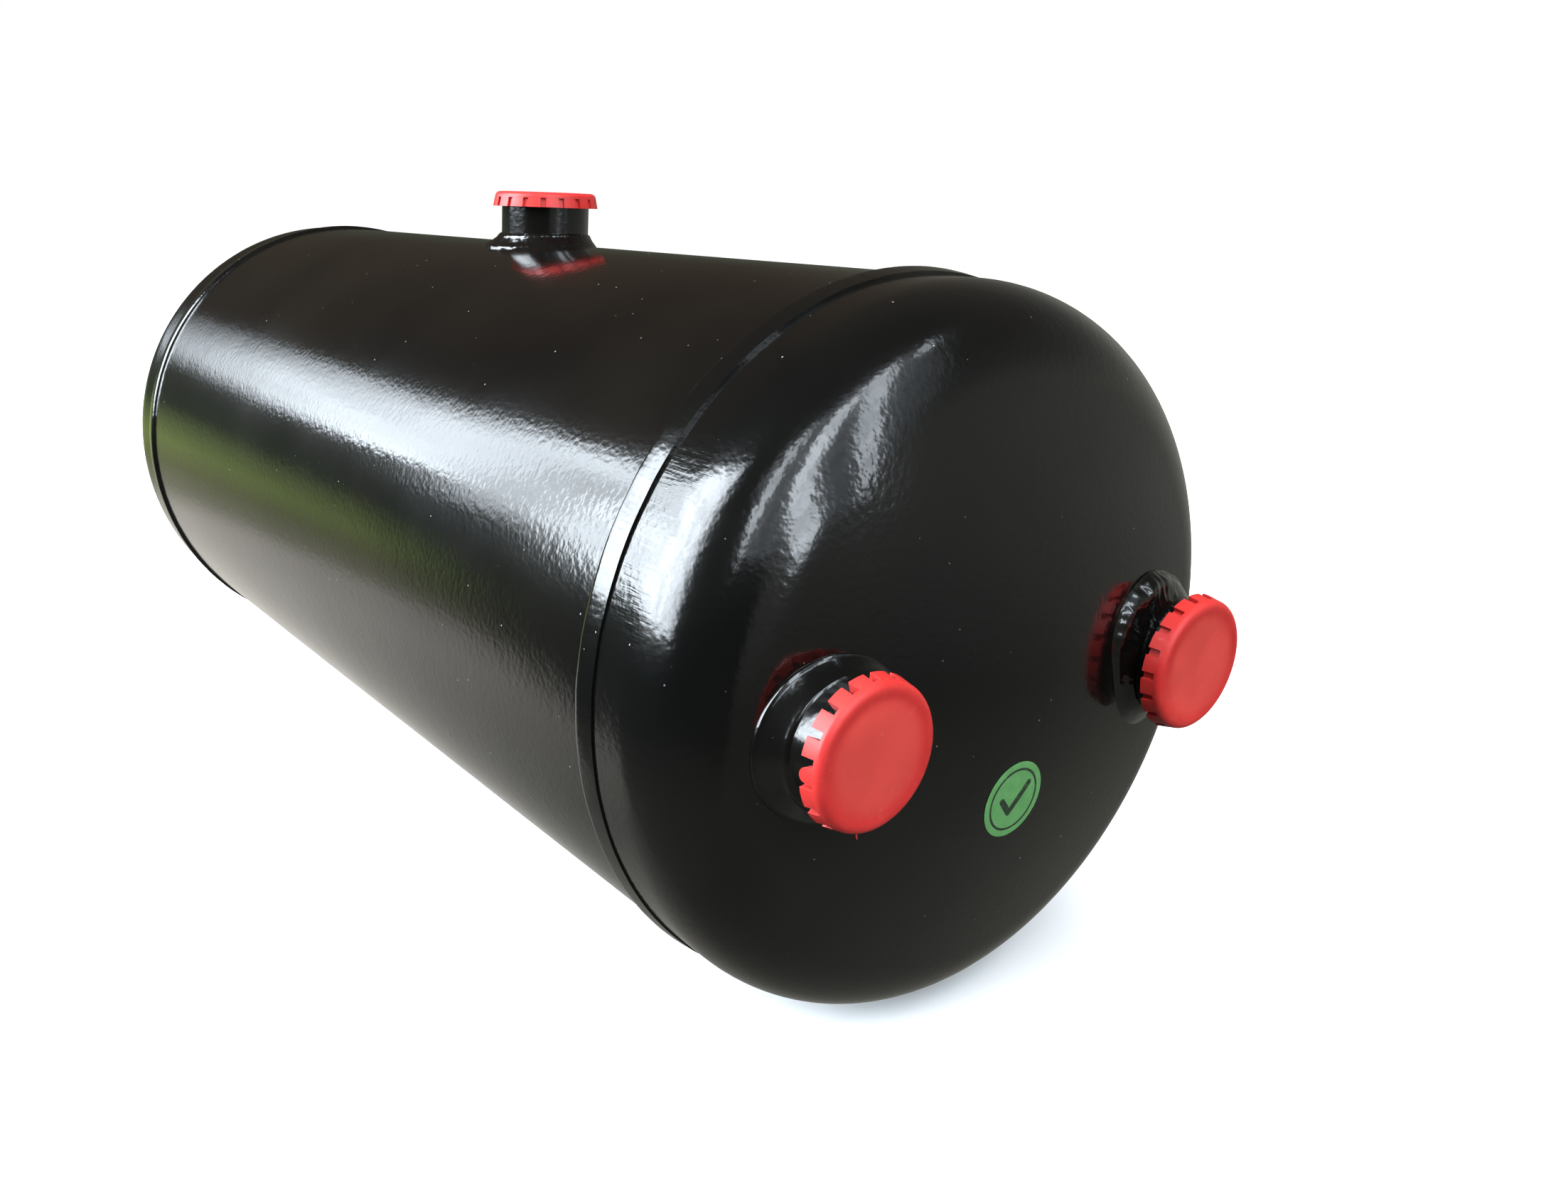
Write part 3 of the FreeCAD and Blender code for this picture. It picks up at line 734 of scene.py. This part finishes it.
def cap_column(radius, bottom, recess, through):
    """A cap's section at one angle, from the face's centre round to the inside's.

    Radius is the open end's, bottom where the skirt ends there, and recess how
    deep a notch is cut. In a cap whose notches are cut through, the skirt has no
    rows below its bottom.
    """
    taper = 0.9 * MM
    shoulder_width = 2.4 * MM
    shoulder_height = 2.2 * MM
    start = CAP_HEIGHT - shoulder_height
    face = radius - taper - shoulder_width
    rim = face - 2.0 * MM
    sunk = 0.2 * MM
    inner = BOSS_RADIUS + CAP_GAP
    ceiling = CAP_HEIGHT - CAP_END
    fillet = 0.5 * MM

    def wall(height):
        rise = max(0.0, height - start) / shoulder_height
        rounding = shoulder_width * (1 - math.sqrt(max(0.0, 1 - rise ** 2)))
        return radius - taper * min(1.0, height / start) - rounding

    section = [(rim * i / 8, CAP_HEIGHT - sunk) for i in range(9)]
    section += [(rim + 0.6 * MM, CAP_HEIGHT - 0.4 * sunk), (rim + 1.4 * MM, CAP_HEIGHT)]
    section.append((face, CAP_HEIGHT))
    for i in range(1, 9):
        height = start + shoulder_height * math.cos(TAU / 4 * i / 8)
        section.append((wall(height), height))
    section.append((wall(NOTCH_HEIGHT), NOTCH_HEIGHT))
    for share in (1.0, 0.5, 0.0):
        height = bottom if through else NOTCH_HEIGHT * share
        section.append((wall(height) - recess, max(bottom, height)))
    section += [(inner, bottom), (inner, max(bottom, NOTCH_HEIGHT))]
    section += [(inner, ceiling - fillet), (inner - fillet, ceiling)]
    section += [(inner * (5 - i) / 6, ceiling) for i in range(6)]
    return section


def cap_columns(radius, turn, depth, odd):
    """Angles round a cap with their sections.

    Its notches have a depth, or are cut through if that is zero. The tooth called
    odd has a rounded end, and the notch after it is narrower.
    """
    half = NOTCH_HALF / radius
    odd_trim = math.radians(0.6)
    next_gain = math.radians(3.4)
    columns = []
    for index in range(NOTCHES):
        centre = math.radians(turn) + TAU * index / NOTCHES
        left = centre - half
        start = centre + half
        end = centre + TAU / NOTCHES - half
        if index == odd:
            end -= odd_trim
        if (index - 1) % NOTCHES == odd:
            left -= odd_trim
            start -= next_gain
        for i in range(4):
            angle = left + (start - left) * i / 3
            if depth:
                columns.append((angle, cap_column(radius, 0.0, depth, False)))
            else:
                columns.append((angle, cap_column(radius, NOTCH_HEIGHT, 0.0, True)))
        for i in range(9):
            share = i / 8
            lift = 0.0
            if index == odd:
                round_end = (end - start) * radius / 2
                lift = round_end * (1 - math.sqrt(max(0.0, 1 - (2 * share - 1) ** 2)))
            angle = start + (end - start) * share
            columns.append((angle, cap_column(radius, lift, 0.0, not depth)))
    return columns


def add_nib(points, faces, port, radius, base, angle):
    """A short curved thread of plastic left on a cap's edge, added to its mesh."""
    sides = 6
    root = radius - 1.2 * MM
    length = 2.8 * MM
    middle_height = base + 3.4 * MM
    for share, thick in ((0.0, 0.45 * MM), (0.5, 0.32 * MM), (1.0, 0.14 * MM)):
        out = root + length * share
        lean = angle + 0.03 * share ** 2
        for side in range(sides):
            turn = TAU * side / sides
            reach = out + thick * 0.3 * math.cos(turn)
            around = lean + thick * math.cos(turn) / radius
            height = middle_height + thick * math.sin(turn)
            points.append(port.place(reach * math.cos(around), reach * math.sin(around), height))
    first = len(points) - 3 * sides
    for ring in range(2):
        corner = first + ring * sides
        for side in range(sides):
            after = (side + 1) % sides
            faces.append((corner + side, corner + after, corner + sides + after, corner + sides + side))
    faces.append(tuple(range(first, first + sides)))
    faces.append(tuple(range(first + 2 * sides, first + 3 * sides)))


def make_cap(port, material, radius, turn, depth, odd=None, nib=None):
    """A push-on cap with a notched skirt, pressed on down to its end wall.

    Turn is the angle of a notch and depth how deep the notches are, zero where
    they are cut through. Odd is the tooth with a rounded end and nib the angle of
    a leftover of the moulding sprue, where there is one.
    """
    base = port.mouth + CAP_END - CAP_HEIGHT
    columns = cap_columns(radius, turn, depth, odd)
    points = []
    for angle, section in columns:
        for out, height in section:
            points.append(port.place(out * math.cos(angle), out * math.sin(angle), base + height))
    rows = len(columns[0][1])
    faces = grid_faces(len(columns), rows, close_rows=False)
    if nib is not None:
        add_nib(points, faces, port, radius, base, math.radians(nib))
    name = f"{port.word}_notched_cap"
    node = f"{port.word}_cap"
    cap = finish_piece(name, points, faces, material, node, [node], bevel=0.22 * MM)
    mark_face(cap.data, port, radius)


def mark_face(mesh, port, radius):
    """Store how far each point of a cap is on its round face, which is duller."""
    edge = radius - 5.0 * MM
    fade = 3.5 * MM
    face = mesh.attributes.new("face", "FLOAT", "POINT")
    away = port.matrix.inverted()
    for vertex, value in zip(mesh.vertices, face.data):
        local = away @ vertex.co
        value.value = min(1.0, max(0.0, (edge - local.xy.length) / fade))


def make_sticker(material):
    """A thin paper disc that follows the head's crown."""
    centre = middle("inspection_sticker")
    columns = 96
    back = 0.10 * MM
    front = 0.25 * MM
    profile = [(0.0, back), (0.5, back), (0.995, back)]
    profile += [(1.0, 0.16 * MM), (0.998, 0.22 * MM), (0.985, front)]
    profile += [(0.94 * (11 - i) / 11, front) for i in range(12)]
    points = []
    for c in range(columns):
        angle = TAU * c / columns
        for share, lift in profile:
            y = centre.y + share * STICKER_RADIUS * math.cos(angle)
            up = centre.z - TANK_MIDDLE.z + share * STICKER_RADIUS * math.sin(angle)
            out = math.sqrt((CROWN_RADIUS + lift) ** 2 - y ** 2 - up ** 2)
            points.append(TANK_MIDDLE + Vector((CROWN_CENTRE + out, y, up)))
    faces = grid_faces(columns, len(profile), close_rows=False)
    finish_piece(
        "paper_sticker", points, faces, material, "tank", ["inspection_sticker"]
    )


def around(base, *humps):
    """Millimetres by angle: a base with (rise, peak, spread) humps."""
    def value(angle):
        return (base + sum(rise * hump(angle, peak, spread) for rise, peak, spread in humps)) * MM
    return value


def top_swell(t, angle):
    toe = 0.7 * bell(t, 0.82, 0.13) * hump(angle, -130, 60)
    return (0.2 * bell(t, 0.14, 0.10) - 0.2 * math.sin(math.pi * t) + toe) * MM


def left_swell(t, angle):
    shoulder = 0.4 * bell(t, 0.11, 0.08) * hump(angle, 215, 50)
    return (shoulder + 0.32 * bell(t, 0.93, 0.05) - 0.25 * math.sin(math.pi * t)) * MM


def right_swell(t, angle):
    lump = 2.6 * bell(t, 0.62, 0.30) * hump(angle, 112, 36)
    passes = 0.6 * bell(t, 0.75, 0.14) * hump(angle, 155, 30)
    return (lump + passes - 0.3 * math.sin(math.pi * t)) * MM


def make_port_welds(top, left, right, material):
    """The hand-laid fillets round the bosses: the right one has a lump at its upper left."""
    make_port_weld(
        top, material, neck=5.2 * MM, swell=top_swell, seed=1.0,
        foot=around(24.8, (0.8, 0, 30), (3.2, -125, 30)),
        roughness=around(0.07, (0.30, -130, 50), (0.16, -20, 40)),
    )
    make_port_weld(
        left, material, neck=5.9 * MM, swell=left_swell, seed=2.0,
        foot=around(24.7, (1.2, 200, 45), (2.0, 265, 50)),
        roughness=around(0.02),
    )
    make_port_weld(
        right, material, neck=5.9 * MM, swell=right_swell, seed=3.0,
        foot=around(25.7, (8.5, 132, 38), (3.0, 160, 20), (1.6, -80, 30), (1.0, 40, 25)),
        roughness=around(0.06, (0.55, 130, 40)),
    )


def make_tank():
    """Every visible piece of the tank."""
    paint = black_paint()
    weld_paint = black_paint("black_paint_on_weld", ripple=0.02 * MM)
    head_paint = black_paint("black_paint_on_head", drawn=True)
    red = red_plastic()
    green = sticker_paper(middle("inspection_sticker"))
    top = top_port()
    left = front_port("left", -1)
    right = front_port("right", 1)

    make_shell(paint)
    make_head("ported_head", "front_head", 1, (left, right), head_paint)
    make_head("plain_head", "rear_head", -1, (), head_paint)
    make_girth_weld("front_bead", "front_girth_weld", 1, paint)
    make_girth_weld("rear_bead", "rear_girth_weld", -1, paint)
    make_seam_weld(weld_paint)
    make_port_welds(top, left, right, weld_paint)
    for port in (top, left, right):
        make_boss(port, paint)
    make_cap(top, red, radius=CAP_RADIUS, turn=6.3, depth=1.1 * MM)
    make_cap(left, red, radius=CAP_RADIUS - 0.7 * MM, turn=13.2, depth=0.0, odd=8, nib=-97)
    make_cap(right, red, radius=CAP_RADIUS - 0.3 * MM, turn=1.6, depth=1.5 * MM)
    make_sticker(green)


# --------------------------------------------------------------------- studio

def look_along(yaw, pitch, roll):
    """A camera's rotation from its heading, its tilt and its roll, in degrees."""
    yaw, pitch, roll = (math.radians(v) for v in (yaw, pitch, roll))
    ahead = Vector((math.cos(pitch) * math.cos(yaw), math.cos(pitch) * math.sin(yaw), math.sin(pitch)))
    right = Vector((math.sin(yaw), -math.cos(yaw), 0))
    up = right.cross(ahead)
    turned_right = right * math.cos(roll) + up * math.sin(roll)
    turned_up = up * math.cos(roll) - right * math.sin(roll)
    return Matrix((turned_right, turned_up, -ahead)).transposed()


def make_camera():
    """The photograph's viewing angle, near the ported head and a little above."""
    data = bpy.data.cameras.new("camera")
    data.sensor_width = 36
    data.lens = 29.01
    data.shift_x = 0.1108
    data.shift_y = 0.0011
    data.clip_start = 0.01
    camera = bpy.data.objects.new("camera", data)
    bpy.context.scene.collection.objects.link(camera)
    place = TANK_MIDDLE + Vector((517.1, -314.2, 139.0)) * MM
    turn = look_along(yaw=145.316, pitch=-17.101, roll=2.016)
    camera.matrix_world = Matrix.Translation(place) @ turn.to_4x4()
    bpy.context.scene.camera = camera


def heading(azimuth, elevation):
    """Unit vector towards an azimuth from +X and an elevation, in degrees."""
    azimuth, elevation = math.radians(azimuth), math.radians(elevation)
    flat = math.cos(elevation)
    return Vector((flat * math.cos(azimuth), flat * math.sin(azimuth), math.sin(elevation)))


def glow_material(name, points, radiance, far_radiance, reach):
    """Cool light that covers what is behind it by the mesh's glow attribute.

    The radiance runs evenly from the first point's to the far one, which it meets
    at reach of the way to the point farthest round from the first.
    """
    n = Nodes(name)
    glow = n.new("ShaderNodeEmission")
    glow.inputs["Color"].default_value = (0.84, 0.925, 1.0, 1.0)
    start = points[0]
    end = max(points, key=lambda p: (p - start).xy.length)
    run = (end - start).xy
    x, y, _ = n.from_point(start)
    level = n.band(n.dot(x, y, run / run.length_squared), 0, reach, radiance, far_radiance)
    uneven = n.band(n.noise(1.6, 4, 0.6), 0.35, 0.65, 0.65, 1.2)
    n.link(n.math("MULTIPLY", level, uneven), glow.inputs["Strength"])
    share = n.new("ShaderNodeAttribute", attribute_name="glow").outputs["Fac"]
    fade = n.new("ShaderNodeMapRange", interpolation_type="SMOOTHSTEP")
    n.link(share, fade.inputs["Value"])
    clear = n.new("ShaderNodeBsdfTransparent")
    cover = n.new("ShaderNodeMixShader")
    n.link(fade.outputs["Result"], cover.inputs["Fac"])
    n.link(clear.outputs["BSDF"], cover.inputs[1])
    n.link(glow.outputs["Emission"], cover.inputs[2])
    n.link(cover.outputs["Shader"], n.tree.nodes["Material Output"].inputs["Surface"])
    return n.material


def glowing(name, points, faces, shares, radiance, far_radiance, reach=1.0):
    """Stage a diffuser mesh, each point covering what is behind it by its share."""
    mesh = bpy.data.meshes.new(name)
    mesh.from_pydata(points, [], faces)
    glow_share = mesh.attributes.new("glow", "FLOAT", "POINT")
    for value, share in zip(glow_share.data, shares):
        value.value = share
    mesh.materials.append(glow_material(name, points, radiance, far_radiance, reach))
    panel = bpy.data.objects.new(name, mesh)
    bpy.context.scene.collection.objects.link(panel)
    panel.visible_camera = False
    panel.visible_shadow = False


def glowing_panel(name, corners, distance, radiance, far_radiance, reach, soft):
    """A flat diffuser seen from the tank between corners of (azimuth, elevation).

    It fades out across its edges over the share of its size given by soft.
    """
    middle_azimuth = sum(a for a, _ in corners) / len(corners)
    middle_elevation = sum(e for _, e in corners) / len(corners)
    middle_way = heading(middle_azimuth, middle_elevation)
    points = []
    for scale in (1 - soft / 2, 1 + soft / 2):
        for azimuth, elevation in corners:
            azimuth = middle_azimuth + (azimuth - middle_azimuth) * scale
            elevation = middle_elevation + (elevation - middle_elevation) * scale
            way = heading(azimuth, elevation)
            points.append(TANK_MIDDLE + way * (distance / way.dot(middle_way)))
    count = len(corners)
    faces = [tuple(range(count))]
    faces += [(i, (i + 1) % count, count + (i + 1) % count, count + i) for i in range(count)]
    shares = [1.0] * count + [0.0] * count
    glowing(name, points, faces, shares, radiance, far_radiance, reach)


def glowing_strip(name, line, distance, radiance):
    """A narrow diffuser along (azimuth, elevation, half width), brightest in its middle."""
    points = []
    shares = []
    for index, (azimuth, elevation, half) in enumerate(line):
        end = index in (0, len(line) - 1)
        for step in (-1, -0.4, 0.4, 1):
            reach = step * half / math.cos(math.radians(elevation))
            points.append(TANK_MIDDLE + heading(azimuth + reach, elevation) * distance)
            shares.append(0.0 if end or abs(step) == 1 else 1.0)
    faces = []
    for index in range(len(line) - 1):
        for side in range(3):
            corner = 4 * index + side
            faces.append((corner, corner + 1, corner + 5, corner + 4))
    glowing(name, points, faces, shares, radiance, radiance)


def make_panels():
    """A broad window with a post behind the tank's left side, and a barred one by the camera."""
    glowing_panel(
        "side_window",
        [
            (-171, 8), (-157, 8), (-150, 11), (-145, 11), (-138, 4), (-120, 4), (-93, 5), (-92, 50),
            (-112, 48), (-130, 42), (-144, 34), (-152, 28.5), (-160, 21), (-167, 15.5),
        ],
        distance=5.0, radiance=1.4, far_radiance=25.0, reach=0.40, soft=0.32,
    )
    glowing_strip(
        "side_post",
        [(-148, 5, 2.5), (-148, 10, 3), (-147.5, 16, 3), (-147.5, 22, 2.6), (-147.5, 27, 2)],
        distance=4.8, radiance=5.5,
    )
    glowing_panel(
        "near_window",
        [
            (-57, 46), (-47, 24), (-19, 15), (8, 2), (24, 2), (30, 12),
            (36, 38), (46, 54), (15, 61), (-20, 60), (-39, 55),
        ],
        distance=5.4, radiance=1.7, far_radiance=0.4, reach=1.0, soft=0.30,
    )
    glowing_strip(
        "near_gap_1",
        [(-46, 19, 3), (-46, 27, 4), (-45, 38, 5), (-42, 46, 5), (-37, 53, 5), (-32, 59, 5)],
        distance=5.2, radiance=10.0,
    )
    glowing_strip(
        "near_gap_2",
        [
            (8, 2, 6), (4, 8, 7), (-2, 14, 8), (-8, 20, 8), (-14, 27, 8),
            (-18, 37, 7), (-15, 46, 7), (-8, 54, 6), (-2, 61, 6),
        ],
        distance=5.1, radiance=14.0,
    )
    glowing_strip(
        "near_gap_3",
        [
            (25.5, 2, 1.5), (24, 6, 2.2), (19, 14, 3.2), (13, 25, 4.2),
            (9, 37, 5), (10, 48, 6), (13, 58, 7), (15, 62, 7),
        ],
        distance=5.0, radiance=11.0,
    )
    glowing_strip("near_gap_4", [(38, 52, 5), (40, 56, 5), (42, 60, 5)], distance=4.9, radiance=7.0)


def make_soft_sun():
    """Even light from above, which the gloss doesn't show."""
    data = bpy.data.lights.new("overhead", "SUN")
    data.energy = 3.5
    data.angle = math.radians(60)
    lamp = bpy.data.objects.new("overhead", data)
    bpy.context.scene.collection.objects.link(lamp)
    lamp.rotation_euler = heading(-60, 80).to_track_quat("Z", "Y").to_euler()
    lamp.visible_glossy = False


def ramp(tree, fac, stops):
    """A colour ramp over elevation, from stops of (elevation, colour)."""
    node = tree.nodes.new("ShaderNodeValToRGB")
    tree.links.new(fac, node.inputs["Fac"])
    elements = node.color_ramp.elements
    while len(elements) < len(stops):
        elements.new(0.5)
    for element, (elevation, colour) in zip(elements, stops):
        element.position = 0.5 + 0.5 * math.sin(math.radians(elevation))
        element.color = (*colour, 1)
    return node.outputs["Color"]


def toward(tree, place, azimuth, near, full, away, colour):
    """Mix into the away colour the one seen toward an azimuth, by the cosine from it."""
    share = tree.nodes.new("ShaderNodeMapRange")
    share.interpolation_type = "SMOOTHSTEP"
    share.inputs["From Min"].default_value = near
    share.inputs["From Max"].default_value = full
    facing = tree.nodes.new("ShaderNodeVectorMath")
    facing.operation = "DOT_PRODUCT"
    facing.inputs[1].default_value = heading(azimuth, 0)
    tree.links.new(place.outputs["Generated"], facing.inputs[0])
    tree.links.new(facing.outputs["Value"], share.inputs["Value"])
    mix = tree.nodes.new("ShaderNodeMix")
    mix.data_type = "RGBA"
    tree.links.new(share.outputs["Result"], mix.inputs["Factor"])
    tree.links.new(away, mix.inputs["A"])
    tree.links.new(colour, mix.inputs["B"])
    return mix.outputs["Result"]


def room_colour(tree, place, height):
    """A dim hall, with a yard beside the tank and a dark hedge by the camera."""
    hall = ramp(tree, height, (
        (-90, (0.16, 0.16, 0.145)), (-35, (0.20, 0.20, 0.18)), (-18, (0.14, 0.14, 0.125)),
        (-4, (0.29, 0.30, 0.27)), (8, (0.34, 0.34, 0.30)), (22, (0.18, 0.18, 0.165)),
        (38, (0.10, 0.09, 0.08)), (90, (0.05, 0.042, 0.036)),
    ))
    yard = ramp(tree, height, (
        (-90, (0.28, 0.27, 0.25)), (-42, (0.26, 0.26, 0.24)), (-32, (0.52, 0.51, 0.47)),
        (-24, (0.80, 0.77, 0.71)), (-19, (0.84, 0.80, 0.73)), (-16, (0.46, 0.46, 0.34)),
        (-12, (0.36, 0.40, 0.20)), (-8, (0.46, 0.60, 0.20)), (-4.5, (0.30, 0.39, 0.15)),
        (-1, (0.07, 0.095, 0.06)), (4, (0.07, 0.08, 0.06)), (12, (0.06, 0.050, 0.036)),
        (30, (0.064, 0.043, 0.030)), (90, (0.038, 0.027, 0.020)),
    ))
    hedge = ramp(tree, height, (
        (-90, (0.20, 0.20, 0.175)), (-40, (0.19, 0.19, 0.165)), (-28, (0.12, 0.12, 0.105)),
        (-22, (0.045, 0.05, 0.045)), (-6, (0.03, 0.036, 0.032)), (6, (0.036, 0.040, 0.036)),
        (22, (0.075, 0.080, 0.075)), (38, (0.09, 0.085, 0.075)), (90, (0.05, 0.042, 0.036)),
    ))
    sides = toward(tree, place, azimuth=-170, near=0.1, full=0.7, away=hall, colour=yard)
    return toward(tree, place, azimuth=-85, near=0.34, full=0.48, away=sides, colour=hedge)


def make_world():
    """A white surround for the camera, where the gloss shows the room instead."""
    world = bpy.data.worlds.new("studio")
    bpy.context.scene.world = world
    world.use_nodes = True
    tree = world.node_tree
    background = tree.nodes["Background"]
    place = tree.nodes.new("ShaderNodeTexCoord")
    parts = tree.nodes.new("ShaderNodeSeparateXYZ")
    tree.links.new(place.outputs["Generated"], parts.inputs[0])
    height = tree.nodes.new("ShaderNodeMapRange")
    height.inputs["From Min"].default_value = -1.0
    tree.links.new(parts.outputs["Z"], height.inputs["Value"])
    room = room_colour(tree, place, height.outputs["Result"])
    white = tree.nodes.new("ShaderNodeMix")
    white.data_type = "RGBA"
    path = tree.nodes.new("ShaderNodeLightPath")
    tree.links.new(path.outputs["Is Camera Ray"], white.inputs["Factor"])
    tree.links.new(room, white.inputs["A"])
    white.inputs["B"].default_value = (1, 1, 1, 1)
    tree.links.new(white.outputs["Result"], background.inputs["Color"])


def make_floor():
    """A plain pale floor under the tank, which the gloss doesn't show."""
    mesh = bpy.data.meshes.new("floor")
    bm = bmesh.new()
    bmesh.ops.create_grid(bm, x_segments=8, y_segments=8, size=6.0)
    bm.to_mesh(mesh)
    bm.free()
    floor = bpy.data.objects.new("floor", mesh)
    bpy.context.scene.collection.objects.link(floor)
    n = Nodes("floor")
    tone = n.mix(n.noise(3, 2), (0.86, 0.86, 0.86), (0.90, 0.90, 0.90))
    n.link(tone, n.shader.inputs["Base Color"])
    n.set(Roughness=0.9, Specular_IOR_Level=0.1)
    mesh.materials.append(n.material)
    floor.visible_glossy = False
    floor.visible_diffuse = False


def make_studio():
    """The camera, and what lights the tank and shows in its gloss."""
    make_camera()
    make_world()
    make_floor()
    make_panels()
    make_soft_sun()
    bpy.context.scene.view_settings.view_transform = "Standard"


make_tank()
make_studio()
